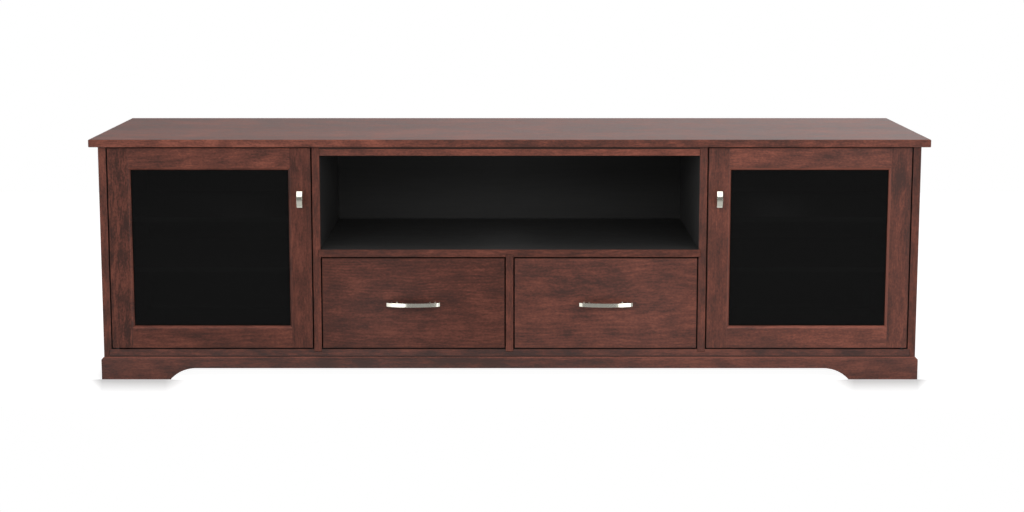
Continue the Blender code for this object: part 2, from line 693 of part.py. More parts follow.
def dovetail_socket(outer, inward, joint_y, low, high):
    neck = (DOVETAIL_SHOULDER - JOINT_GAP, DRAWER_SIDE_THICKNESS - DOVETAIL_SHOULDER + JOINT_GAP)
    tip = (neck[0] - DOVETAIL_FLARE, neck[1] + DOVETAIL_FLARE)
    plan = [
        (neck[0], joint_y + CUT_MARGIN),
        (neck[0], joint_y),
        (tip[0], joint_y - DOVETAIL_DEPTH),
        (tip[1], joint_y - DOVETAIL_DEPTH),
        (neck[1], joint_y),
        (neck[1], joint_y + CUT_MARGIN),
    ]
    bm = bmesh.new()
    add_prism(bm, [(outer + inward * across, y) for across, y in plan], "Z", low, high)
    return bm


def case_runner_section():
    """Section of the outer channel as (out from the wall, height): a web and two flanges with turned-in lips."""
    half = RUNNER_HEIGHT / 2
    upper = [
        (0, half),
        (RUNNER_DEPTH, half),
        (RUNNER_DEPTH, half - RUNNER_LIP),
        (RUNNER_DEPTH - RUNNER_METAL, half - RUNNER_LIP),
        (RUNNER_DEPTH - RUNNER_METAL, half - RUNNER_METAL),
        (RUNNER_METAL, half - RUNNER_METAL),
    ]
    return upper + [(out, -height) for out, height in reversed(upper)]


def drawer_runner_section():
    """Section of the inner channel, whose flanges hook behind the lips of the outer one."""
    face = RUNNER_SPACE - 2 * JOINT_GAP
    flange = RUNNER_HEIGHT / 2 - RUNNER_LIP - RUNNER_CLEARANCE
    hook = RUNNER_HEIGHT / 2 - RUNNER_METAL - RUNNER_CLEARANCE
    hook_out = RUNNER_DEPTH - RUNNER_METAL - RUNNER_CLEARANCE
    upper = [
        (face, flange),
        (hook_out, flange),
        (hook_out, hook),
        (hook_out - RUNNER_METAL, hook),
        (hook_out - RUNNER_METAL, flange - RUNNER_METAL),
        (face - RUNNER_METAL, flange - RUNNER_METAL),
    ]
    return upper + [(out, -height) for out, height in reversed(upper)]


def build_drawer(side, sign):
    """A dovetailed box behind an inset front, hung on a pair of runners at each side."""
    middle = sign * (DRAWER_OPENING + BOARD) / 2
    joint_y = FRONT_Y + DRAWER_FRONT_THICKNESS
    front_z = (FLOOR_Z + REVEAL, BAY_SHELF_Z0 - REVEAL)
    drawer = pivot(f"{side}_drawer_slide", (middle, FRONT_Y, front_z[0]))
    half = DRAWER_OPENING / 2 - RUNNER_SPACE
    box_z = (front_z[0] + DRAWER_SIDE_RISE, front_z[0] + DRAWER_SIDE_RISE + DRAWER_SIDE_HEIGHT)
    rear_y = joint_y + DRAWER_BOX_LENGTH
    groove_z = (box_z[0] + GROOVE_RISE, box_z[0] + GROOVE_RISE + DRAWER_BOTTOM_THICKNESS + 2 * JOINT_GAP)
    inner = half - DRAWER_SIDE_THICKNESS
    housed = inner + GROOVE_DEPTH - JOINT_GAP
    back_y = (rear_y - DRAWER_BACK_INSET - DRAWER_BACK_THICKNESS, rear_y - DRAWER_BACK_INSET)

    front_half = DRAWER_OPENING / 2 - REVEAL
    xs = (middle - front_half, middle + front_half)
    front = board(f"{side}_drawer_front", xs, (FRONT_Y, joint_y), front_z, CHERRY, drawer)
    xs = (middle - housed - JOINT_GAP, middle + housed + JOINT_GAP)
    carve_block(front, "bottom_groove", xs, (joint_y - GROOVE_DEPTH, joint_y + CUT_MARGIN), groove_z)

    for end, turn in SIDES.items():
        outer = middle + turn * half
        socket = dovetail_socket(outer, -turn, joint_y, front_z[0] - CUT_MARGIN, box_z[1] + JOINT_GAP)
        carve(front, f"{end}_socket", socket)
        plank = make(f"{side}_drawer_{end}_side", dovetail_side(outer, -turn, joint_y, box_z), MAPLE, drawer)
        groove_x = (middle + turn * (inner - CUT_MARGIN), middle + turn * (inner + GROOVE_DEPTH))
        carve_block(plank, "bottom_groove", groove_x, (FRONT_Y - CUT_MARGIN, rear_y + CUT_MARGIN), groove_z)
        dado_y = (back_y[0] - JOINT_GAP, back_y[1] + JOINT_GAP)
        carve_block(plank, "back_dado", groove_x, dado_y, (box_z[0] - CUT_MARGIN, box_z[1] + CUT_MARGIN))

        wall = middle + turn * DRAWER_OPENING / 2
        level = box_z[0] + RUNNER_RISE
        run_y = (joint_y + RUNNER_SETBACK, joint_y + RUNNER_SETBACK + RUNNER_LENGTH)
        for kind, section, carrier in (
            ("case", case_runner_section(), None),
            ("drawer", drawer_runner_section(), drawer),
        ):
            bm = bmesh.new()
            outline = [(wall - turn * (JOINT_GAP + out), level + height) for out, height in section]
            add_prism(bm, outline, "Y", *run_y)
            make(f"{side}_drawer_{end}_{kind}_runner", bm, STEEL, carrier)

    xs = (middle - housed, middle + housed)
    bottom_z = (groove_z[0] + JOINT_GAP, groove_z[1] - JOINT_GAP)
    depths = (joint_y - GROOVE_DEPTH + JOINT_GAP, back_y[1])
    board(f"{side}_drawer_bottom", xs, depths, bottom_z, MAPLE, drawer)
    heights = (bottom_z[1] + JOINT_GAP, box_z[1] - DRAWER_BACK_DROP)
    board(f"{side}_drawer_back", xs, back_y, heights, MAPLE, drawer)
    middle_place = Vector((middle, FRONT_Y - JOINT_GAP, (front_z[0] + front_z[1]) / 2))
    build_pull(f"{side}_drawer_pull", middle_place, drawer)


for old in list(bpy.data.objects):
    bpy.data.objects.remove(old, do_unlink=True)

CHERRY = finish("stained_cherry", (0.115, 0.048, 0.036), 0.42)
BLACK = finish("black_stain", (0.012, 0.012, 0.012), 0.6)
MAPLE = finish("drawer_maple", (0.55, 0.40, 0.25), 0.5)
GLASS = finish("smoked_glass", (0.02, 0.02, 0.02), 0.05, alpha=0.5)
NICKEL = finish("satin_nickel", (0.60, 0.57, 0.52), 0.32, metallic=1.0)
STEEL = finish("zinc_steel", (0.45, 0.45, 0.46), 0.4, metallic=1.0)

build_plinth()
build_sides()
build_partitions()
build_bottom()
build_bay()
build_top()
build_back()
build_shelves()
for door_side, door_sign in SIDES.items():
    build_door(door_side, door_sign)
for drawer_side, drawer_sign in SIDES.items():
    build_drawer(drawer_side, drawer_sign)
bpy.context.view_layer.update()
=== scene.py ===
"""Looks of a low media console in stained cherry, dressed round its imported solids.

Metres, +Z up, front towards -Y. The file follows the console as it is put together: plinth, case boards,
back, top, shelves, hinges, doors, runners and drawers, and then the studio that shows it.
"""

import math

import bmesh
import bpy
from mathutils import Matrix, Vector


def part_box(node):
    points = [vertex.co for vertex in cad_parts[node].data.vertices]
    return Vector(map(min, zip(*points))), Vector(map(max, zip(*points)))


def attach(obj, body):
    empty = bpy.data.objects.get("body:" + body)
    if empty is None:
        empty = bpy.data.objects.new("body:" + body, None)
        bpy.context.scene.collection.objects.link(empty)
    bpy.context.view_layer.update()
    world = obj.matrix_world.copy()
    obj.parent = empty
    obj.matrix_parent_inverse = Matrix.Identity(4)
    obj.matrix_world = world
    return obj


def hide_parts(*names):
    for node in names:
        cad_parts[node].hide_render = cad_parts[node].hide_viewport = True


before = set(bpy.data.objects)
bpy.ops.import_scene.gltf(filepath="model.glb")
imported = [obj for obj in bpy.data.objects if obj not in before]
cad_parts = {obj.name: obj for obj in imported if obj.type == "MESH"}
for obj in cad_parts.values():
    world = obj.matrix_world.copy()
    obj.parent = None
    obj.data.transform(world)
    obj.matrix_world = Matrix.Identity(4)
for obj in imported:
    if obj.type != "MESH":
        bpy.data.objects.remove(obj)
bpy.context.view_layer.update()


# Plinth
# Four boards of stained cherry stand on edge under the case. The front and the sides are mitred at the
# corners, chamfered along the top and sawn out below to bracket feet. A plain back is let in between them.

class Wire:
    """A socket in a node tree. Sums written with wires add the Math nodes that work them out."""

    def __init__(self, tree, socket=None):
        self.tree = tree
        self.socket = socket

    def node(self, kind, sockets=None, output=0, stops=(), **settings):
        """Adds a node: its settings first, then the values or wires of its sockets.

        Returns a wire from one of its outputs, if it has any.
        """
        made = self.tree.nodes.new(kind)
        for name, value in settings.items():
            setattr(made, name, value)
        for k, (place, colour) in enumerate(stops):
            elements = made.color_ramp.elements
            stop = elements[k] if k < len(elements) else elements.new(place)
            stop.position = place
            stop.color = (*colour, 1.0)
        for name, value in (sockets or {}).items():
            if isinstance(value, Wire):
                self.tree.links.new(value.socket, made.inputs[name])
            else:
                made.inputs[name].default_value = value
        return Wire(self.tree, made.outputs[output] if len(made.outputs) else None)

    def beside(self, output):
        """Another output of the same node."""
        return Wire(self.tree, self.socket.node.outputs[output])

    def maths(self, operation, *values):
        return self.node("ShaderNodeMath", dict(enumerate(values)), operation=operation)

    def mix(self, low, high):
        """A colour that goes from low to high as this wire goes from 0 to 1."""
        return self.node("ShaderNodeMix", {0: self, 6: low, 7: high}, output=2, data_type="RGBA")

    def __add__(self, other):
        return self.maths("ADD", self, other)

    def __sub__(self, other):
        return self.maths("SUBTRACT", self, other)

    def __rsub__(self, other):
        return self.maths("SUBTRACT", other, self)

    def __mul__(self, other):
        return self.maths("MULTIPLY", self, other)

    def __truediv__(self, other):
        return self.maths("DIVIDE", self, other)

    def __pow__(self, other):
        return self.maths("POWER", self, other)

    def __gt__(self, other):
        return self.maths("GREATER_THAN", self, other)

    def __lt__(self, other):
        return self.maths("LESS_THAN", self, other)

    def __abs__(self):
        return self.maths("ABSOLUTE", self)

    __radd__ = __add__
    __rmul__ = __mul__


def start_finish(name):
    """An empty material, and a wire with the places on the object that it covers."""
    material = bpy.data.materials.new(name)
    material.use_nodes = True
    material.node_tree.nodes.clear()
    return material, Wire(material.node_tree).node("ShaderNodeTexCoord", output="Object")


def axes_of(place):
    """The three coordinates of a place, each as a wire of its own."""
    x = place.node("ShaderNodeSeparateXYZ", {"Vector": place})
    return {"X": x, "Y": x.beside("Y"), "Z": x.beside("Z")}


def end_finish(wire, sockets):
    """Ends a material in one Principled shader."""
    shader = wire.node("ShaderNodeBsdfPrincipled", sockets)
    shader.node("ShaderNodeOutputMaterial", {"Surface": shader})


SEED_STEP = (3.71, 1.37, 0.83)


def start_board(name, along, across, seed):
    """A material for a board, with its coordinates and the places in it as (along, across, through).

    The seed moves those places, so that no two boards are cut alike.
    """
    material, place = start_finish(name)
    axes = axes_of(place)
    through = ({"X", "Y", "Z"} - {along, across}).pop()
    board = place.node("ShaderNodeCombineXYZ", {"X": axes[along], "Y": axes[across], "Z": axes[through]})
    moved = {"Vector": board, "Location": [seed * step for step in SEED_STEP]}
    return material, axes, place.node("ShaderNodeMapping", moved)


def speckle(board, stretch, detail=2.0, roughness=0.5):
    """Noise with so many features a metre along, across and through a board."""
    scaled = board.node("ShaderNodeMapping", {"Vector": board, "Scale": stretch})
    sockets = {"Vector": scaled, "Scale": 1.0, "Detail": detail, "Roughness": roughness}
    return board.node("ShaderNodeTexNoise", sockets)


def fade(wire):
    """Falls from 1 towards 0 as a wire rises from 0."""
    return wire.maths("POWER", math.e, wire * -1.0)


RING_SPACING = 0.0085
RING_DRIFT = 0.16
RING_BEND = 0.10
RING_RIPPLE = 0.005
HEART_DEPTH = 0.060
KNOT_STRETCH = 0.6
KNOT_WAVER = (0.045, 0.050)


def growth_rings(board, axes, along, across, heart, knots=()):
    """Lines where a plain-sawn face cuts the year rings, from -1 to 1, and how near the knots are.

    The lines close on the knots, each given as (along, across, size, lift).
    """
    drift = speckle(board, (1.3, 4.0, 4.0), 2.0)
    bend = speckle(board, (2.2, 6.0, 6.0), 1.0)
    ripple = speckle(board, (16.0, 30.0, 30.0), 3.0)
    aside = axes[across] - heart + RING_DRIFT * (drift - 0.5)
    deep = HEART_DEPTH + RING_BEND * (bend - 0.5)
    field = (aside * aside + deep * deep) ** 0.5 + RING_RIPPLE * ripple
    burrs = []
    for knot_along, knot_across, size, lift in knots:
        run = (axes[along] - knot_along) * KNOT_STRETCH + KNOT_WAVER[0] * (ripple - 0.5)
        rise = axes[across] - knot_across + KNOT_WAVER[1] * (ripple - 0.5)
        near = fade((run * run + rise * rise) * (1 / size**2))
        field = field + lift * near
        burrs.append(near)
    return board.maths("SINE", field * (2 * math.pi / RING_SPACING)), sum(burrs)


def toned(stops, tone):
    """The stops of a colour ramp, all made paler or darker."""
    return [(level, [part * tone for part in colour]) for level, colour in stops]


CHERRY_STOPS = (
    (0.22, (0.035, 0.0130, 0.0094)),
    (0.42, (0.068, 0.0216, 0.0146)),
    (0.60, (0.105, 0.0318, 0.0208)),
    (0.82, (0.165, 0.0510, 0.0330)),
)
LINING = (0.0205, 0.0202, 0.0200, 1.0)
# Marks in the grain: features a metre along, across and through the board, then detail and roughness.
MARKS = {
    "cloud": ((2.4, 7.0, 7.0), 2.0, 0.50),
    "blotch": ((14.0, 32.0, 32.0), 3.0, 0.55),
    "streak": ((20.0, 190.0, 190.0), 3.0, 0.55),
    "fibre": ((48.0, 500.0, 500.0), 3.0, 0.60),
    "mottle": ((150.0, 230.0, 230.0), 2.0, 0.50),
    "fleck": ((60.0, 330.0, 330.0), 1.0, 0.50),
}
MARK_DEPTHS = {"cloud": 0.46, "blotch": 0.86, "streak": 0.46, "fibre": 0.62, "mottle": 0.55}
RING_DEPTH = 0.11
FLECK_LIMIT = 0.68
FLECK_DEPTH = 0.12
KNOT_DEPTH = 0.34
SHIFT_DEPTH = 0.17
SATIN = 0.45
FIBRE_ROUGHNESS = 0.22
BLOTCH_ROUGHNESS = 0.10
LINING_ROUGHNESS = 0.12
PORES = {"Strength": 0.22, "Distance": 0.0005}


def stained_cherry(name, along, across, seed, heart=0.0, tone=1.0, knots=(), lining_and_painted_shade=None, dark=LINING,
                   shift_and_painted_light=None, gloss=0.30, figure=1.0):
    """Cherry under a red-brown stain and satin lacquer, with year rings, streaks, gum flecks and fine pores.

    One mask says from the coordinates where a board takes a dark colour instead: black stain inside the
    case,
    and painted shade at door and drawer edges and under the top. Another makes the stain paler or darker:
    uneven tone along some boards, and painted highlights and shade at the sticking, chamfer and crease.
    Figure says how strongly the grain shows.
    """
    material, axes, board = start_board(name, along, across, seed)
    rings, burr = growth_rings(board, axes, along, across, heart, knots)
    marks = {mark: speckle(board, *size) for mark, size in MARKS.items()}
    grain = RING_DEPTH * rings * marks["streak"] - FLECK_DEPTH * (marks["fleck"] > FLECK_LIMIT)
    for mark, depth in MARK_DEPTHS.items():
        grain = grain + depth * (marks[mark] - 0.5)
    shade = 0.5 + figure * grain
    if shift_and_painted_light:
        shade = shade + SHIFT_DEPTH * shift_and_painted_light(*axes.values())
    if knots:
        shade = shade - KNOT_DEPTH * burr * marks["blotch"]
    colour = board.node("ShaderNodeValToRGB", {"Fac": shade}, stops=toned(CHERRY_STOPS, tone))
    rough = SATIN + FIBRE_ROUGHNESS * (marks["fibre"] - 0.5) + BLOTCH_ROUGHNESS * (marks["blotch"] - 0.5)
    if lining_and_painted_shade:
        darkened = lining_and_painted_shade(*axes.values())
        colour = darkened.mix(colour, dark)
        rough = rough + LINING_ROUGHNESS * darkened
    end_finish(board, {
        "Base Color": colour,
        "Roughness": rough,
        "Specular IOR Level": gloss,
        "Normal": board.node("ShaderNodeBump", {"Height": marks["fibre"] + marks["streak"]} | PORES),
    })
    return material


def patches_along(*patches):
    """Says how much paler or darker a board is along its length: patches of (middle, half length, strength).
    """

    def along_board(x, y, z):
        rubs = []
        for middle, length, strength in patches:
            away = (x - middle) / length
            rubs.append(strength * fade(away * away))
        return sum(rubs)

    return along_board


def dress(node, material):
    """Puts a finish on one of the console's solids."""
    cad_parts[node].data.materials.clear()
    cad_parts[node].data.materials.append(material)


CHAMFER_LINE = 0.0026
# How much paler the painted highlight makes the upper edge of the chamfer.
CHAMFER_HIGHLIGHT = 1.5
plinth_patches = patches_along((-0.20, 0.36, -1.4), (0.75, 0.34, 0.75))


def plinth_patches_and_chamfer_highlight(x, y, z):
    """The plinth is patchy along its length, with a painted highlight along the upper edge of the chamfer.
    """
    return plinth_patches(x, y, z) + CHAMFER_HIGHLIGHT * (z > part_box("plinth_front")[1].z - CHAMFER_LINE)


MIRROR = {"left": -1, "right": 1}
dress("plinth_front", stained_cherry(
    "plinth_front_cherry", "X", "Z", 1, heart=0.030, tone=0.82, shift_and_painted_light=plinth_patches_and_chamfer_highlight, gloss=0.42))
dress("plinth_back", stained_cherry("plinth_back_cherry", "X", "Z", 2, heart=0.020))
for side, sign in MIRROR.items():
    dress(f"plinth_{side}", stained_cherry(f"plinth_{side}_cherry", "Y", "Z", 3 + sign, heart=0.025))


# Case boards
# End panels, partitions, bottom, bay shelf and drawer upright are cherry boards housed in one another and
# stained black inside. Their front edges, the rail over the bay and the outer faces of the ends stay cherry.

FRONT_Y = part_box("bottom_panel")[0].y
FLOOR_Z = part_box("bottom_panel")[1].z
BACK_LAP = 0.009
SIDE_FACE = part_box("back_panel")[1].x - BACK_LAP
EDGE = 0.0016
# A warm dark brown for painted shade in the gaps round doors and drawers and under the top.
PAINTED_SHADE_BROWN = (0.030, 0.0135, 0.0100, 1.0)
# Height of the painted shade along the top of the bay rail's face, under the overhang of the top.
OVERHANG_SHADE = 0.0064
# Height and depth of the painted shade in the crease over the plinth.
CREASE = 0.0028
CREASE_SHADE_DEPTH = 4.0
bottom_patches = patches_along((-0.15, 0.35, -0.6), (0.75, 0.30, 0.4))
rail_patches = patches_along((-0.45, 0.12, -0.9), (0.12, 0.35, 0.4))


def behind_edge(x, y, z):
    """All of a board but its front edge."""
    return y > FRONT_Y + EDGE


def inside_end(x, y, z):
    """The inner face of an end panel."""
    return behind_edge(x, y, z) * (abs(x) < SIDE_FACE + EDGE)


def over_floor(x, y, z):
    """The upper face of the bottom."""
    return behind_edge(x, y, z) * (z > FLOOR_Z - EDGE / 2)


def under_overhang(x, y, z):
    """The back of the bay rail, and a strip along the top of its face that gets painted shade under the top.
    """
    return x.maths("MAXIMUM", behind_edge(x, y, z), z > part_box("bay_top_rail")[1].z - OVERHANG_SHADE)


def bottom_patches_and_crease_shade(x, y, z):
    """The bottom's edge is patchy along its length, with painted shade in the crease over the plinth."""
    return bottom_patches(x, y, z) - CREASE_SHADE_DEPTH * (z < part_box("bottom_panel")[0].z + CREASE)


DOOR_GLOSS = {"left": 0.27, "right": 0.37}
PARTITION_TONES = {"left": 1.00, "right": 0.96}
# The two bay walls are the same black, made darker on the left and paler on the right as painted shade and
# light.
BAY_WALL_PAINTED_LIGHT = {"left": 0.68, "right": 1.32}
for side, sign in MIRROR.items():
    dress(f"{side}_side_panel", stained_cherry(
        f"{side}_end_cherry", "Z", "Y", 6 + sign, heart=0.05, lining_and_painted_shade=inside_end))
    bay_wall = [part * BAY_WALL_PAINTED_LIGHT[side] for part in LINING[:3]] + [1.0]
    dress(f"{side}_partition", stained_cherry(
        f"{side}_partition_cherry", "Z", "X", 9 + sign, heart=sign * 0.5, tone=PARTITION_TONES[side],
        lining_and_painted_shade=behind_edge, dark=bay_wall, gloss=DOOR_GLOSS[side]))
dress("bottom_panel", stained_cherry(
    "bottom_cherry", "X", "Z", 12, heart=0.07, tone=0.68, lining_and_painted_shade=over_floor, shift_and_painted_light=bottom_patches_and_crease_shade,
    gloss=0.44, figure=1.25))
dress("bay_shelf", stained_cherry(
    "bay_shelf_cherry", "X", "Z", 13, heart=0.31, tone=0.79, lining_and_painted_shade=behind_edge))
# The bay rail's tone is set well above the other boards, painted light on a face that lies under the top.
dress("bay_top_rail", stained_cherry(
    "bay_rail_cherry", "X", "Z", 14, heart=0.58, tone=1.66, lining_and_painted_shade=under_overhang, dark=PAINTED_SHADE_BROWN,
    shift_and_painted_light=rail_patches, figure=0.75))
dress("drawer_partition", stained_cherry("upright_cherry", "Z", "X", 15, lining_and_painted_shade=behind_edge))


# Back
# A thin sheet stained black on both sides sits in rabbets in the ends. Pan-head screws hold it to the ends,
# the partitions, the top and the bottom. A cable port is cut high behind each cabinet and behind the bay.

BLACK_STOPS = ((0.30, (0.0190, 0.0187, 0.0184)), (0.70, (0.0260, 0.0256, 0.0252)))


def black_stain(name, along, across, seed, tone):
    """Close-grained board stained black, with the grain still faintly showing."""
    material, _, board = start_board(name, along, across, seed)
    streak = speckle(board, (9.0, 160.0, 160.0), 3.0)
    fibre = speckle(board, (40.0, 800.0, 800.0), 2.0)
    shade = {"Fac": 0.6 * streak + 0.4 * fibre}
    end_finish(board, {
        "Base Color": board.node("ShaderNodeValToRGB", shade, stops=toned(BLACK_STOPS, tone)),
        "Roughness": 0.55 + 0.25 * (fibre - 0.5),
        "Specular IOR Level": 0.30,
        "Normal": board.node("ShaderNodeBump", {"Height": fibre, "Strength": 0.2, "Distance": 0.0004}),
    })
    return material


SPANGLES = 260.0
ZINC_STOPS = ((0.0, (0.40, 0.41, 0.42)), (1.0, (0.58, 0.59, 0.60)))


def zinc_steel(name, tone=1.0):
    """Zinc plate on pressed steel: cool grey, faintly spangled and smeared. A low tone is black zinc."""
    material, place = start_finish(name)
    spangle = place.node("ShaderNodeTexVoronoi", {"Vector": place, "Scale": SPANGLES}, output="Color")
    smear = speckle(place, (45.0, 45.0, 45.0), 3.0)
    shade = {"Fac": 0.5 * axes_of(spangle)["X"] + 0.5 * smear}
    end_finish(place, {
        "Base Color": place.node("ShaderNodeValToRGB", shade, stops=toned(ZINC_STOPS, tone)),
        "Roughness": 0.30 + 0.25 * smear,
        "Metallic": 1.0,
    })
    return material


def start_tree(name, sizes):
    """A Geometry Nodes tree with points, a finish and named sizes coming in, and a wire for each of them."""
    tree = bpy.data.node_groups.new(name, "GeometryNodeTree")
    tree.interface.new_socket("Mesh", in_out="OUTPUT", socket_type="NodeSocketGeometry")
    tree.interface.new_socket("Points", in_out="INPUT", socket_type="NodeSocketGeometry")
    tree.interface.new_socket("Finish", in_out="INPUT", socket_type="NodeSocketMaterial")
    for size in sizes:
        kind = "NodeSocketVector" if size == "Facing" else "NodeSocketFloat"
        tree.interface.new_socket(size, in_out="INPUT", socket_type=kind)
    entry = Wire(tree).node("NodeGroupInput").socket.node
    return tree, {socket.name: Wire(tree, socket) for socket in entry.outputs if socket.name}


def end_tree(shape, finish):
    """Ends a tree in a plain mesh with its finish on it."""
    plain = shape.node("GeometryNodeRealizeInstances", {"Geometry": shape})
    done = shape.node("GeometryNodeSetMaterial", {"Geometry": plain, "Material": finish})
    done.node("NodeGroupOutput", {"Mesh": done})


def put_in_scene(name, data):
    """An object of its own for a mesh, a lamp or a camera."""
    placed = bpy.data.objects.new(name, data)
    bpy.context.scene.collection.objects.link(placed)
    return placed


def grow(name, tree, points, values):
    """Runs a tree on some points and keeps the result as an object with a plain mesh."""
    mesh = bpy.data.meshes.new(name)
    mesh.from_pydata(points, [], [])
    holder = put_in_scene(f"{name}_points", mesh)
    growth = holder.modifiers.new("growth", "NODES")
    growth.node_group = tree
    for socket in tree.interface.items_tree:
        if socket.name in values:
            growth[socket.identifier] = values[socket.name]
    graph = bpy.context.evaluated_depsgraph_get()
    plain = bpy.data.meshes.new_from_object(holder.evaluated_get(graph))
    bpy.data.objects.remove(holder)
    return put_in_scene(name, plain)


HEAD_SIDES = 12
# Steps in drawing a head out of a disc: share of its height, and how far the lid shrinks.
SHOULDER = ((0.45, 1.0), (0.35, 0.86), (0.20, 0.72))
SOCKET_DEPTH = -0.55
SOCKET_TAPER = 0.92
WELD_GAP = 0.00001


def add_screw_tree():
    """Pan heads with a round shoulder and a socket for the driver, one on each point, facing one way."""
    tree, given = start_tree("screw_heads", ("Radius", "Height", "Socket", "Facing"))
    circle = {"Vertices": HEAD_SIDES, "Radius": given["Radius"]}
    disc = given["Radius"].node("GeometryNodeMeshCircle", circle, fill_type="NGON")
    base = disc.node("GeometryNodeFlipFaces", {"Mesh": disc})
    drawn = {"Mesh": disc}
    for rise, scale in (*SHOULDER, (0.0, given["Socket"]), (SOCKET_DEPTH, SOCKET_TAPER)):
        step = {"Offset Scale": given["Height"] * rise, "Individual": False}
        head = disc.node("GeometryNodeExtrudeMesh", drawn | step)
        lid = head.beside("Top")
        shrunk = {"Geometry": head, "Selection": lid, "Scale": scale}
        head = disc.node("GeometryNodeScaleElements", shrunk)
        drawn = {"Mesh": head, "Selection": lid}
    whole = disc.node("GeometryNodeJoinGeometry", {"Geometry": head})
    tree.links.new(base.socket, whole.socket.node.inputs["Geometry"])
    whole = disc.node("GeometryNodeMergeByDistance", {"Geometry": whole, "Distance": WELD_GAP})
    turned = {"Points": given["Points"], "Instance": whole, "Rotation": given["Facing"]}
    end_tree(disc.node("GeometryNodeInstanceOnPoints", turned), given["Finish"])
    return tree


SCREWS = add_screw_tree()
FACING = {"+Y": (-math.pi / 2, 0, 0), "-X": (0, -math.pi / 2, 0), "+X": (0, math.pi / 2, 0)}
ZINC = zinc_steel("zinc_plate")


def drive_screws(name, body, points, facing, radius, height, socket=0.5):
    """Puts a plated head on each point, all facing one way and moving with one body."""
    screws = grow(name, SCREWS, points, {
        "Finish": ZINC, "Radius": radius, "Height": height, "Socket": socket, "Facing": FACING[facing],
    })
    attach(screws, body)


def steps_between(start, end, count):
    """Even steps from start to end, with both of them."""
    return [start + (end - start) * k / (count - 1) for k in range(count)]


def middle_of(node):
    """The middle of the box round a solid."""
    low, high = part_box(node)
    return (low + high) / 2


BACK_TONE = 0.62
BACK_SCREW_RADIUS = 0.0036
BACK_SCREW_HEIGHT = 0.0018
BACK_SCREW_INSET = 0.010
BACK_SCREWS_ACROSS = 15
BACK_SCREWS_UP = 6

dress("back_panel", black_stain("back_black", "X", "Z", 20, BACK_TONE))
low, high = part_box("back_panel")
columns = [low.x + BACK_SCREW_INSET, high.x - BACK_SCREW_INSET]
places = []
for z in (low.z + BACK_SCREW_INSET, high.z - BACK_SCREW_INSET):
    places += [(x, high.y, z) for x in steps_between(*columns, BACK_SCREWS_ACROSS)]
columns += [middle_of(f"{side}_partition").x for side in MIRROR]
for x in columns:
    places += [(x, high.y, z) for z in steps_between(low.z, high.z, BACK_SCREWS_UP)[1:-1]]
drive_screws("back_screws", "case", places, "+Y", BACK_SCREW_RADIUS, BACK_SCREW_HEIGHT)


# Top
# One wide board glued up from cherry, with eased edges. It overhangs the front and the ends, is level with
# the back, and is stained black below with the rest of the inside.

CASE_TOP_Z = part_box("left_side_panel")[1].z
top_patches = patches_along((-0.72, 0.42, 0.9), (0.05, 0.40, -0.7))


def under_top(x, y, z):
    """The lower face of the top, inside the case."""
    return behind_edge(x, y, z) * (abs(x) < SIDE_FACE) * (z < CASE_TOP_Z + EDGE)


def pale_nosing(x, y, z):
    """The front edge of the top is paler towards its left end and darker in the middle."""
    return top_patches(x, y, z) * (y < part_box("top_panel")[0].y + EDGE)


dress("top_panel", stained_cherry(
    "top_cherry", "X", "Y", 30, heart=-0.3, tone=1.17, lining_and_painted_shade=under_top, shift_and_painted_light=pale_nosing))


# Shelves
# Two loose boards in each cabinet, stained black, lie on steel pins pushed into rows of holes in the end and
# the partition. A plated sleeve covers each pin.

SHELF_TONE = 2.9
SLEEVE_RADIUS = 0.0031
SLEEVE_LENGTH = 0.0088
PIN_DROP = 0.0028
PIN_ROW_INSET = 0.045
LEVELS = ("lower", "upper")

for side in MIRROR:
    for k, level in enumerate(LEVELS):
        finish = black_stain(f"{side}_{level}_shelf_black", "X", "Y", 25 + k, SHELF_TONE)
        dress(f"{side}_{level}_shelf", finish)
    for wall, facing in (("left", "+X"), ("right", "-X")):
        places = []
        for level in LEVELS:
            low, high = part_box(f"{side}_{level}_shelf")
            edge = low.x if wall == "left" else high.x
            rows = (low.y + PIN_ROW_INSET, high.y - PIN_ROW_INSET)
            places += [(edge, y, low.z - PIN_DROP) for y in rows]
        name = f"{side}_cabinet_{wall}_pin_sleeves"
        drive_screws(name, "case", places, facing, SLEEVE_RADIUS, SLEEVE_LENGTH)


# Hinges
# Pivot hinges in black zinc plate: a leaf with a pin is let into the top and the bottom of the case, and a
# leaf with an eye into each end of the hinge stile. Only their edges show in the gap round the door.

BLACK_ZINC_TONE = 0.06
BLACK_ZINC = zinc_steel("black_zinc_plate", BLACK_ZINC_TONE)
for side in MIRROR:
    for level in ("top", "bottom"):
        for leaf in ("case", "door"):
            dress(f"{side}_{level}_hinge_{leaf}_leaf", BLACK_ZINC)


# Doors
# Each door is a frame of coped cherry stiles and rails with a sloped sticking round the opening. A pane of
# smoked glass lies in the rebate behind, held by a pinned cherry bead. A bowed nickel knob is screwed on.

GLASS_GREYS = ((0.0042, 0.0042, 0.0042, 1.0), (0.0056, 0.0056, 0.0056, 1.0))


def smoked_glass(name):
    """Dark grey glass that lets about a third of the light through, with faint wiping marks."""
    material, place = start_finish(name)
    wipe = speckle(place, (6.0, 6.0, 22.0), 3.0)
    end_finish(place, {
        "Base Color": wipe.mix(*GLASS_GREYS),
        "Roughness": 0.02 + 0.06 * wipe,
        "Alpha": 0.675,
        "Specular IOR Level": 0.12,
    })
    return material


BRUSH_SEED = 31
NICKEL_STOPS = ((0.25, (0.54, 0.525, 0.45)), (0.75, (0.66, 0.645, 0.57)))


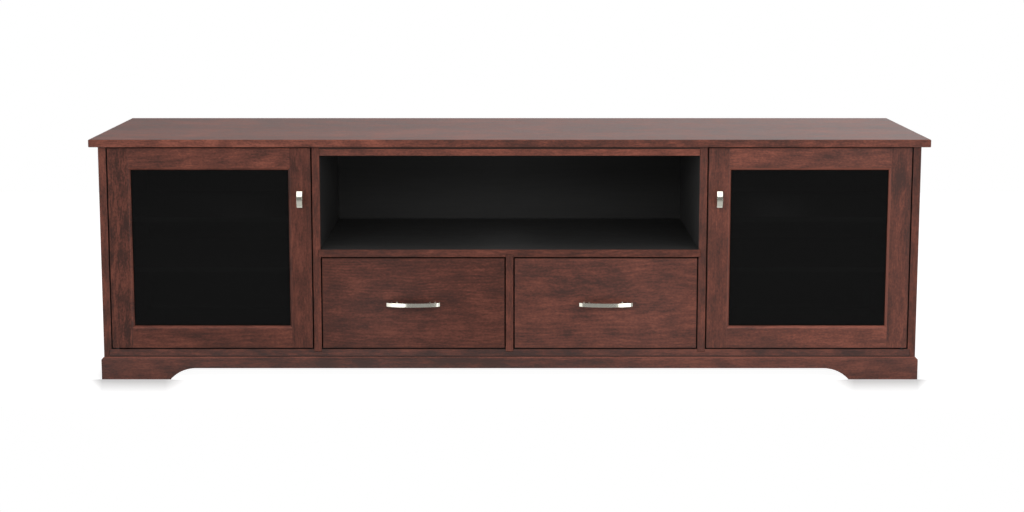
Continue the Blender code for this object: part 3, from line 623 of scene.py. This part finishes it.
def satin_nickel(name, along, across):
    """Nickel plate over a brushed strap, with fine lines along it."""
    material, _, board = start_board(name, along, across, BRUSH_SEED)
    brush = speckle(board, (60.0, 2600.0, 2600.0), 2.0)
    cloud = speckle(board, (70.0, 70.0, 70.0), 2.0)
    shade = {"Fac": 0.5 * brush + 0.5 * cloud}
    end_finish(board, {
        "Base Color": board.node("ShaderNodeValToRGB", shade, stops=NICKEL_STOPS),
        "Metallic": 1.0,
        "Roughness": 0.10 + 0.06 * brush,
    })
    return material


STRAP_STEPS = 81
STRAP_CORNER_STEPS = 4


def add_strap_tree():
    """A strap bowed out to the front, whose tips turn back more steeply than the bow."""
    sizes = ("Length", "Width", "Thickness", "Bow", "Tip Run", "Tip Drop", "Edge", "Turn")
    tree, given = start_tree("bowed_strap", sizes)
    length = given["Length"]
    line = length.node("GeometryNodeCurvePrimitiveLine", {
        "Start": length.node("ShaderNodeCombineXYZ", {"X": length * -0.5}),
        "End": length.node("ShaderNodeCombineXYZ", {"X": length * 0.5}),
    })
    line = length.node("GeometryNodeResampleCurve", {"Curve": line, "Count": STRAP_STEPS}, mode="COUNT")
    reach = abs(axes_of(length.node("GeometryNodeInputPosition"))["X"])
    chord = length * 0.5 - given["Tip Run"]
    bowed = length.maths("MINIMUM", reach, chord) / chord
    turned = length.maths("MAXIMUM", reach - chord, 0.0) / given["Tip Run"]
    fall = given["Bow"] * bowed * bowed + given["Tip Drop"] * turned
    offset = length.node("ShaderNodeCombineXYZ", {"Y": fall})
    line = length.node("GeometryNodeSetPosition", {"Geometry": line, "Offset": offset})
    line = length.node("GeometryNodeSetCurveNormal", {"Curve": line}, mode="Z_UP")
    section = {"Width": given["Thickness"], "Height": given["Width"]}
    section = length.node("GeometryNodeCurvePrimitiveQuadrilateral", section, mode="RECTANGLE")
    rounded = {"Curve": section, "Radius": given["Edge"], "Count": STRAP_CORNER_STEPS}
    section = length.node("GeometryNodeFilletCurve", rounded, mode="POLY")
    strap = {"Curve": line, "Profile Curve": section, "Fill Caps": True}
    strap = length.node("GeometryNodeCurveToMesh", strap)
    turn = length.node("ShaderNodeCombineXYZ", {"Y": given["Turn"]})
    placed = {"Points": given["Points"], "Instance": strap, "Rotation": turn}
    end_tree(length.node("GeometryNodeInstanceOnPoints", placed), given["Finish"])
    return tree


STRAPS = add_strap_tree()
STRAP_EDGE = 0.0003
SMOOTH_ANGLE = math.radians(6)


def fit_strap(strap, legs, node, body):
    """Welds a strap to its legs, smooths it and puts it in place of the solid that it stands for."""
    for leg in legs:
        weld = strap.modifiers.new("weld", "BOOLEAN")
        weld.operation = "UNION"
        weld.object = leg
        graph = bpy.context.evaluated_depsgraph_get()
        welded = bpy.data.meshes.new_from_object(strap.evaluated_get(graph))
        strap.modifiers.clear()
        strap.data = welded
        bpy.data.objects.remove(leg)
    strap.data.shade_smooth()
    strap.data.set_sharp_from_angle(angle=SMOOTH_ANGLE)
    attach(strap, body)
    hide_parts(node)


def shape_of(name, bm):
    """Turns the faces of a shape outwards and makes an object of it."""
    bmesh.ops.recalc_face_normals(bm, faces=bm.faces)
    mesh = bpy.data.meshes.new(name)
    bm.to_mesh(mesh)
    bm.free()
    return put_in_scene(name, mesh)


# A knob's post from the door out to the strap: share of the way and radius.
KNOB_POST = ((0.0, 0.0062), (0.10, 0.0062), (0.22, 0.0050), (0.62, 0.0044), (1.0, 0.0058))
POST_SIDES = 64


def turned_post(name, centre, start_y, end_y):
    """A waisted post turned about an axis along Y, from the door to the strap."""
    bm = bmesh.new()
    rings = []
    for share, radius in KNOB_POST:
        y = start_y + (end_y - start_y) * share
        ring = []
        for k in range(POST_SIDES):
            angle = 2 * math.pi * k / POST_SIDES
            x = centre.x + radius * math.cos(angle)
            z = centre.z + radius * math.sin(angle)
            ring.append(bm.verts.new((x, y, z)))
        rings.append(ring)
    for near, far in zip(rings, rings[1:]):
        for k in range(POST_SIDES):
            following = (k + 1) % POST_SIDES
            bm.faces.new((near[k], near[following], far[following], far[k]))
    bm.faces.new(rings[0])
    bm.faces.new(rings[-1])
    return shape_of(name, bm)


RIM = 0.0010
RIM_EDGE = 0.0003


def rim_of(low, high):
    """Says where a door or a drawer front has its edges, darkened with painted shade so that the gaps read
    as lines.
    """
    middle = (low + high) / 2
    half = (high - low) / 2

    def beyond(x, y, z):
        over_x = abs(x - middle.x) > half.x - RIM
        over_z = abs(z - middle.z) > half.z - RIM
        return x.maths("MAXIMUM", over_x, over_z) * (y > FRONT_Y + RIM_EDGE)

    return beyond


STICKING = 0.0052


def sticking_of(board, across, middle, strength):
    """Says where a stile or a rail has its sticking, which is made paler as a painted highlight.

    It runs along the edge of the board that is nearer to the middle of the door.
    """
    axis = "XYZ".index(across)
    edge = min((corner[axis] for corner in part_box(board)), key=lambda place: abs(place - middle[axis]))

    def near_opening(*place):
        return strength * (abs(place[axis] - edge) < STICKING)

    return near_opening


# Hearts of stiles are measured from their left edge, and those of rails from the floor.
DOOR_HEARTS = {"hinge_stile": 0.02, "pull_stile": 0.03, "top_rail": 0.57, "bottom_rail": 0.10}
# Tones vary from board to board as cherry does, and also carry painted light: the right door paler than the
# left, and the rails paler than the stiles.
DOOR_TONES = {
    "left": {"hinge_stile": 0.75, "pull_stile": 0.75, "top_rail": 1.15, "bottom_rail": 0.81},
    "right": {"hinge_stile": 0.95, "pull_stile": 0.98, "top_rail": 1.30, "bottom_rail": 1.18},
}
# How strongly the painted highlight pales the sticking on each board.
STICKING_HIGHLIGHTS = {
    "left": {"hinge_stile": 1.0, "pull_stile": 0.0, "top_rail": 1.0, "bottom_rail": 1.0},
    "right": {"hinge_stile": 3.0, "pull_stile": 1.6, "top_rail": 2.2, "bottom_rail": 1.2},
}
HINGE_FIGURES = {"left": 1.7, "right": 1.1}
BEAD_PIN_RADIUS = 0.0012
BEAD_PIN_HEIGHT = 0.0005
BEAD_PIN_SOCKET = 0.6
BEAD_PIN_INSET = 0.0038
BEAD_PINS_UP = (0.03, 5)
BEAD_PINS_ACROSS = (0.05, 4)
KNOB = {
    "Thickness": 0.0045, "Bow": 0.004, "Tip Run": 0.003, "Tip Drop": 0.0015, "Edge": STRAP_EDGE,
    "Turn": math.pi / 2,
}
FIXING_RADIUS = 0.0042
FIXING_HEIGHT = 0.0022

GLASS = smoked_glass("smoked_pane")
UPRIGHT_NICKEL = satin_nickel("upright_nickel", "Z", "X")
for side, sign in MIRROR.items():
    body = f"{side}_door"
    seed = 40 + 5 * sign
    corners = [*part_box(f"{body}_hinge_stile"), *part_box(f"{body}_pull_stile")]
    low, high = Vector(map(min, *corners)), Vector(map(max, *corners))
    for k, (board, heart) in enumerate(DOOR_HEARTS.items()):
        along, across, figure = "X", "Z", 1.0
        if board.endswith("stile"):
            along, across = "Z", "X"
            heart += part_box(f"{body}_{board}")[0].x
        if board == "hinge_stile":
            figure = HINGE_FIGURES[side]
        shift_and_painted_light = sticking_of(f"{body}_{board}", across, (low + high) / 2, STICKING_HIGHLIGHTS[side][board])
        dress(f"{body}_{board}", stained_cherry(
            f"{body}_{board}_cherry", along, across, seed + k, heart, DOOR_TONES[side][board],
            lining_and_painted_shade=rim_of(low, high), dark=PAINTED_SHADE_BROWN, shift_and_painted_light=shift_and_painted_light, gloss=DOOR_GLOSS[side], figure=figure))
    dress(f"{body}_glass", GLASS)
    dress(f"{body}_glass_stop", stained_cherry(f"{side}_bead_cherry", "Z", "X", seed + 4))

    low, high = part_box(f"{body}_glass_stop")
    corner, count = BEAD_PINS_UP
    pins = []
    for x in (low.x + BEAD_PIN_INSET, high.x - BEAD_PIN_INSET):
        pins += [(x, high.y, z) for z in steps_between(low.z + corner, high.z - corner, count)]
    corner, count = BEAD_PINS_ACROSS
    for z in (low.z + BEAD_PIN_INSET, high.z - BEAD_PIN_INSET):
        pins += [(x, high.y, z) for x in steps_between(low.x + corner, high.x - corner, count)]
    drive_screws(
        f"{body}_bead_pins", body, pins, "+Y", BEAD_PIN_RADIUS, BEAD_PIN_HEIGHT, BEAD_PIN_SOCKET)

    low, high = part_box(f"{body}_knob")
    middle = middle_of(f"{body}_knob")
    front = low.y + KNOB["Thickness"] / 2
    knob = grow(f"{body}_knob_strap", STRAPS, [(middle.x, front, middle.z)], KNOB | {
        "Finish": UPRIGHT_NICKEL, "Length": high.z - low.z, "Width": high.x - low.x,
    })
    post = turned_post(f"{body}_knob_post", middle, high.y, front)
    fit_strap(knob, [post], f"{body}_knob", body)
    inner_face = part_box(f"{body}_pull_stile")[1].y
    drive_screws(
        f"{body}_knob_screw", body, [(middle.x, inner_face, middle.z)], "+Y", FIXING_RADIUS, FIXING_HEIGHT)


# Runners
# A pressed steel channel on each side of a drawer opening holds a narrower channel on the drawer. Both are
# black zinc, so that nothing bright shows in the gaps. Three pan-head screws hold the drawer's channel.

RUNNER_WEB = 0.0014
RUNNER_SCREW_RADIUS = 0.0036
RUNNER_SCREW_HEIGHT = 0.0013
RUNNER_SCREW_FRONT = 0.04
RUNNER_SCREW_BACK = 0.06
RUNNER_SCREWS = 3

for side in MIRROR:
    for end in MIRROR:
        runner = f"{side}_drawer_{end}_drawer_runner"
        dress(f"{side}_drawer_{end}_case_runner", BLACK_ZINC)
        dress(runner, BLACK_ZINC)
        low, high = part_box(runner)
        web, facing = (high.x - RUNNER_WEB, "-X") if end == "left" else (low.x + RUNNER_WEB, "+X")
        rows = steps_between(low.y + RUNNER_SCREW_FRONT, high.y - RUNNER_SCREW_BACK, RUNNER_SCREWS)
        places = [(web, y, middle_of(runner).z) for y in rows]
        drive_screws(
            f"{side}_drawer_{end}_runner_screws", f"{side}_drawer", places, facing,
            RUNNER_SCREW_RADIUS, RUNNER_SCREW_HEIGHT)


# Drawers
# Each drawer has a plain inset front of cherry and a box of pale maple, housed with long dovetails into the
# back of the front. The pull is a bowed nickel strap on two flat legs, screwed on from inside.

MAPLE_STOPS = ((0.25, (0.40, 0.265, 0.150)), (0.50, (0.55, 0.400, 0.250)), (0.75, (0.66, 0.510, 0.340)))
MAPLE_HEART = 0.12


def pale_maple(name, along, across, seed):
    """Maple in clear lacquer: creamy, close-grained, with faint brown growth lines."""
    material, axes, board = start_board(name, along, across, seed)
    rings, _ = growth_rings(board, axes, along, across, MAPLE_HEART)
    streak = speckle(board, (8.0, 130.0, 130.0), 3.0)
    fibre = speckle(board, (50.0, 900.0, 900.0), 2.0)
    shade = {"Fac": 0.5 + 0.7 * (streak - 0.5) + 0.07 * rings + 0.4 * (fibre - 0.5)}
    end_finish(board, {
        "Base Color": board.node("ShaderNodeValToRGB", shade, stops=MAPLE_STOPS),
        "Roughness": 0.38 + 0.2 * (fibre - 0.5),
        "Normal": board.node("ShaderNodeBump", {"Height": fibre, "Strength": 0.15, "Distance": 0.0004}),
    })
    return material


PULL = {
    "Thickness": 0.004, "Bow": 0.008, "Tip Run": 0.005, "Tip Drop": 0.0035, "Edge": STRAP_EDGE,
    "Turn": 0.0,
}
LEG_SPACING = 0.096
LEG_FOOT = 0.016
LEG_WAIST = 0.0096
LEG_SOLE = 0.0008
LEG_FLARE = 0.0042
LEG_HEIGHT = 0.0094
LEG_EDGE = 0.0006
LEG_EDGE_STEPS = 3


def bow_of(middle_x, front_y, chord):
    """Says how far forward the bow of a pull is at a place along it."""

    def seat(x):
        return front_y + PULL["Bow"] * ((x - middle_x) / chord) ** 2

    return seat


def flared_leg(name, centre_x, centre_z, face_y, seat):
    """A flat leg of a pull that flares to a foot on the drawer's face. Its other end follows the bow."""
    foot, waist = LEG_FOOT / 2, LEG_WAIST / 2
    half = [(foot, face_y), (foot, face_y - LEG_SOLE), (waist, face_y - LEG_FLARE)]
    plan = [(centre_x + out, y) for out, y in half]
    plan += [(x, seat(x)) for x in (centre_x + waist, centre_x - waist)]
    plan += [(centre_x - out, y) for out, y in reversed(half)]
    bm = bmesh.new()
    sole = bm.faces.new([bm.verts.new((x, y, centre_z - LEG_HEIGHT / 2)) for x, y in plan])
    for raised in bmesh.ops.extrude_face_region(bm, geom=[sole])["geom"]:
        if isinstance(raised, bmesh.types.BMVert):
            raised.co.z += LEG_HEIGHT
    level = [e for e in bm.edges if abs(e.verts[0].co.z - e.verts[1].co.z) < LEG_HEIGHT / 2]
    bmesh.ops.bevel(bm, geom=level, offset=LEG_EDGE, segments=LEG_EDGE_STEPS, affect="EDGES", profile=0.5)
    return shape_of(name, bm)


DRAWER_HEARTS = {"left": 0.18, "right": 0.20}
# The right drawer front is made paler than the left, partly as painted light from the right.
DRAWER_TONES = {"left": 0.72, "right": 0.91}
DRAWER_KNOTS = {
    "left": ((-0.231, 0.233, 0.022, 0.006),),
    "right": ((0.250, 0.237, 0.030, 0.026), (0.150, 0.238, 0.020, 0.016), (0.316, 0.210, 0.003, 0.004)),
}
DRAWER_BOX = (("left_side", "Y", "Z"), ("right_side", "Y", "Z"), ("back", "X", "Z"), ("bottom", "X", "Y"))

LEVEL_NICKEL = satin_nickel("level_nickel", "X", "Z")
for side, sign in MIRROR.items():
    body = f"{side}_drawer"
    seed = 60 + 5 * sign
    dress(f"{body}_front", stained_cherry(
        f"{body}_front_cherry", "X", "Z", seed, DRAWER_HEARTS[side], DRAWER_TONES[side], DRAWER_KNOTS[side],
        lining_and_painted_shade=rim_of(*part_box(f"{body}_front")), dark=PAINTED_SHADE_BROWN, gloss=DOOR_GLOSS[side]))
    for k, (board, along, across) in enumerate(DRAWER_BOX, 1):
        dress(f"{body}_{board}", pale_maple(f"{body}_{board}_maple", along, across, seed + k))

    low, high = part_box(f"{body}_pull")
    middle = middle_of(f"{body}_pull")
    front = low.y + PULL["Thickness"] / 2
    pull = grow(f"{body}_pull_strap", STRAPS, [(middle.x, front, middle.z)], PULL | {
        "Finish": LEVEL_NICKEL, "Length": high.x - low.x, "Width": high.z - low.z,
    })
    seat = bow_of(middle.x, front, (high.x - low.x) / 2 - PULL["Tip Run"])
    inner_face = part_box(f"{body}_front")[1].y
    legs = []
    screws = []
    for end, turn in MIRROR.items():
        x = middle.x + turn * LEG_SPACING / 2
        legs.append(flared_leg(f"{body}_pull_{end}_leg", x, middle.z, high.y, seat))
        screws.append((x, inner_face, middle.z))
    fit_strap(pull, legs, f"{body}_pull", body)
    drive_screws(f"{body}_pull_screws", body, screws, "+Y", FIXING_RADIUS, FIXING_HEIGHT)


# Studio
# A white floor and surround, lit by a strip lamp near the front and soft lamps at the sides and above.
# Lacquer and metal mirror a dim painted room with bright screens instead, and two white cards by the pulls.

WHITE = (1, 1, 1, 1)
SKY = 0.39
ROOM = 0.30
ROOM_FLOOR = 0.76
ROOM_FLOOR_RISE = (-0.10, -0.45)
FRONT_SCREEN = 2.4
FRONT_SCREEN_FOOT = (0.24, 0.30)
FRONT_SCREEN_HEAD = (0.95, 0.70)
SIDE_SCREENS = (1.8, 4.4)
SIDE_SCREEN_TURN = (0.52, 0.56)
SIDE_SCREEN_HEAD = (0.12, 0.05)
RIGHT_SCREEN_END = (2.6, 1.8)
LEAST_AHEAD = 0.05
BACKDROP = (0.53, 1.21)
BACKDROP_TURN = (-0.22, 0.27)
BACKDROP_START = (-0.15, 0.25)


def seen_directly(wire):
    """Wires that are 1 for rays that show the surround: of the camera or through glass, and of mirrors."""
    camera = wire.node("ShaderNodeLightPath", output="Is Camera Ray")
    clear = camera.maths("MAXIMUM", camera, camera.beside("Is Transmission Ray"))
    return clear, camera.beside("Is Glossy Ray")


def ramp(wire, start, end):
    """Goes from 0 to 1 as a wire goes from start to end, and no further."""
    return wire.node("ShaderNodeMapRange", {"Value": wire, "From Min": start, "From Max": end})


def build_surround():
    """White all round for the camera, an even sky for light, and the painted room for mirrors."""
    world = bpy.data.worlds.new("white_surround")
    bpy.context.scene.world = world
    world.use_nodes = True
    world.node_tree.nodes.clear()
    way = Wire(world.node_tree).node("ShaderNodeTexCoord", output="Generated")
    aside, behind, rise = axes_of(way).values()
    under = ramp(rise, *ROOM_FLOOR_RISE)
    over = ramp(rise, *FRONT_SCREEN_FOOT) * ramp(rise, *FRONT_SCREEN_HEAD)
    turn = aside / way.maths("MAXIMUM", 0.0 - behind, LEAST_AHEAD)
    left = SIDE_SCREENS[0] * ramp(0.0 - turn, *SIDE_SCREEN_TURN)
    right = SIDE_SCREENS[1] * ramp(turn, *SIDE_SCREEN_TURN) * ramp(turn, *RIGHT_SCREEN_END)
    screens = (left + right) * ramp(rise, *SIDE_SCREEN_HEAD) * (1 - under)
    front = ROOM + (ROOM_FLOOR - ROOM) * under + (FRONT_SCREEN - ROOM) * over + screens
    backdrop = BACKDROP[0] + (BACKDROP[1] - BACKDROP[0]) * ramp(aside, *BACKDROP_TURN)
    room = front + (backdrop - front) * ramp(behind, *BACKDROP_START)
    clear, mirrored = seen_directly(way)
    strength = SKY + (1.0 - SKY) * clear + (room - SKY) * mirrored
    glow = way.node("ShaderNodeBackground", {"Color": WHITE, "Strength": strength})
    glow.node("ShaderNodeOutputWorld", {"Surface": glow})


FLOOR_LOW = (-3.0, -0.50)
FLOOR_HIGH = (3.0, 3.0)
FLOOR_GREY = 0.50
FLOOR_GLOW = 0.85
# The glow is raised under the case, painted light that takes out the shade there, and lowered in front of
# the feet as a painted shadow.
UNDER_GLOW = 0.95
MIRRORED_GLOW = 0.60
SHADE_DEPTH = 0.86
SHADE_REACH = 0.22
SHADE_ASIDE = 0.05
SHADE_TAPER = 0.45
SHADE_SPREAD = 0.20
SIDE_SHADE = 0.30
FOOT_REACH = (0.79, 0.87)


def build_floor():
    """A matt floor that glows for the camera, as white as the surround, with a painted shadow of the feet
    and painted light under the case.
    """
    material, place = start_finish("white_floor")
    x, y, _ = axes_of(place).values()
    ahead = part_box("plinth_front")[0].y - y
    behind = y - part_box("plinth_back")[1].y
    out = place.maths("MAXIMUM", ahead, 0.0)
    aside = (abs(x) + SHADE_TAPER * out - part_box("plinth_right")[1].x) * (SHADE_REACH / SHADE_ASIDE)
    gap = place.maths("MAXIMUM", place.maths("MAXIMUM", ahead, behind), aside)
    foot = ramp(abs(x) + SHADE_SPREAD * out, *FOOT_REACH) * (ahead > 0.0) + SIDE_SHADE * (ahead < 0.0)
    shade = ramp(gap, SHADE_REACH, 0.0) * foot
    level = UNDER_GLOW + (FLOOR_GLOW * (1 - SHADE_DEPTH * shade) - UNDER_GLOW) * (gap > 0.0)
    clear, mirrored = seen_directly(place)
    strength = level * (clear + MIRRORED_GLOW * mirrored)
    matt = place.node("ShaderNodeBsdfDiffuse", {"Color": (FLOOR_GREY, FLOOR_GREY, FLOOR_GREY, 1)})
    glow = place.node("ShaderNodeEmission", {"Color": WHITE, "Strength": strength})
    both = place.node("ShaderNodeAddShader", {0: matt, 1: glow})
    both.node("ShaderNodeOutputMaterial", {"Surface": both})
    low_x, low_y = FLOOR_LOW
    high_x, high_y = FLOOR_HIGH
    corners = [(low_x, low_y, 0), (high_x, low_y, 0), (high_x, high_y, 0), (low_x, high_y, 0)]
    mesh = bpy.data.meshes.new("floor")
    mesh.from_pydata(corners, [], [(0, 1, 2, 3)])
    mesh.materials.append(material)
    put_in_scene("floor", mesh)


def hang_lamp(name, place, aim, size, power, spread=math.pi, mirrored=False):
    """A flat lamp that the camera does not see, turned to its aim. Mirrors see it if mirrored is true."""
    light = bpy.data.lights.new(name, "AREA")
    light.shape = "RECTANGLE"
    light.size, light.size_y = size
    light.energy = power
    light.spread = spread
    lamp = put_in_scene(name, light)
    lamp.visible_camera = False
    lamp.visible_glossy = mirrored
    lamp.location = place
    lamp.rotation_euler = (Vector(aim) - Vector(place)).to_track_quat("-Z", "Y").to_euler()


CARD_SPREAD = math.radians(50)

build_surround()
build_floor()
hang_lamp("front_lamp", place=(0.18, -1.55, 0.97), aim=(0.18, -0.2, 0.33), size=(3.2, 0.24), power=21)
hang_lamp("left_lamp", place=(-2.3, -3.7, 1.15), aim=(-0.3, -0.2, 0.30), size=(1.8, 1.8), power=15)
hang_lamp("right_lamp", place=(2.6, -3.7, 1.15), aim=(0.3, -0.2, 0.30), size=(2.0, 1.8), power=24)
hang_lamp("top_lamp", place=(0.0, -0.7, 3.0), aim=(0.0, -0.2, 0.3), size=(3.2, 1.4), power=42)
hang_lamp("left_card", place=(-0.446, -0.70, 0.085), aim=(-0.28, -0.29, 0.18), size=(0.168, 0.15),
          power=0.018, spread=CARD_SPREAD, mirrored=True)
hang_lamp("right_card", place=(0.479, -0.70, 0.085), aim=(0.28, -0.29, 0.18), size=(0.102, 0.15),
          power=0.011, spread=CARD_SPREAD, mirrored=True)

CAMERA_PLACE = (-0.0041, -4.5858, 1.1130)
CAMERA_TILT = math.radians(7.740)
CAMERA_LENS = 62.06
CAMERA_SHIFT = (0.00394, -0.080)

camera_data = bpy.data.cameras.new("camera")
camera_data.lens = CAMERA_LENS
camera_data.shift_x, camera_data.shift_y = CAMERA_SHIFT
camera = put_in_scene("camera", camera_data)
camera.location = CAMERA_PLACE
camera.rotation_euler = (math.pi / 2 - CAMERA_TILT, 0, 0)
bpy.context.scene.camera = camera
bpy.context.scene.view_settings.view_transform = "Standard"
